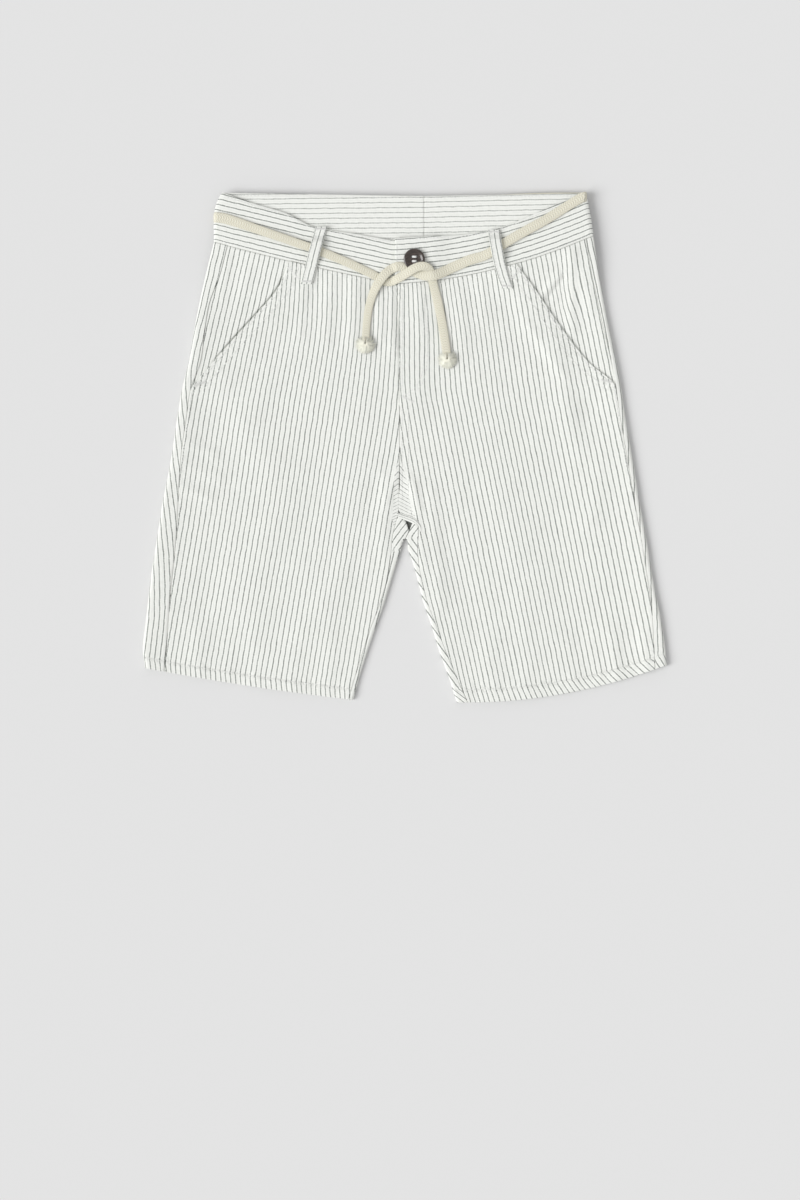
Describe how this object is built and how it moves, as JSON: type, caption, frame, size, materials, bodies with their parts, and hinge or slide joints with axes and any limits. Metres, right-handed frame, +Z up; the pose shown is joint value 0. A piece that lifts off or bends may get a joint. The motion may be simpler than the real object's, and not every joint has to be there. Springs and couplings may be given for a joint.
{
  "type": "bermuda shorts",
  "caption": "Striped cotton bermuda shorts for a child, laid flat with the front up, with slanted pockets, a fly, a waist button and a knotted cord belt through loops.",
  "frame": {"origin": "middle of the outline on the table the shorts lie on", "axes": "+X towards the wearer's left leg, +Y towards the waist, +Z up from the table"},
  "size_m": [0.4188, 0.407, 0.0157],
  "materials": {
    "striped_cotton": "light plain-weave cotton, off-white with thin grey-green stripes along the leg",
    "band_cotton": "the same striped cotton, stripes along the band and the loops",
    "cord": "matt cream cotton, flat woven cord with frayed tips",
    "button_dark": "polished dark brown, four holes sewn with white thread"
  },
  "bodies": {
    "root": {"front_right": "striped_cotton", "front_left": "striped_cotton", "back_right": "striped_cotton", "back_left": "striped_cotton", "pocket_facing_right": "striped_cotton", "pocket_facing_left": "striped_cotton", "waistband_right": "band_cotton", "waistband_left": "band_cotton", "belt_loop_front_right": "band_cotton", "belt_loop_front_left": "band_cotton", "belt_loop_back_right": "band_cotton", "belt_loop_back_centre": "band_cotton", "belt_loop_back_left": "band_cotton", "belt_cord": "cord", "cord_end_right": "cord", "cord_end_left": "cord", "cord_tip_right": "cord", "cord_tip_left": "cord", "button": "button_dark"}
  },
  "joints": []
}
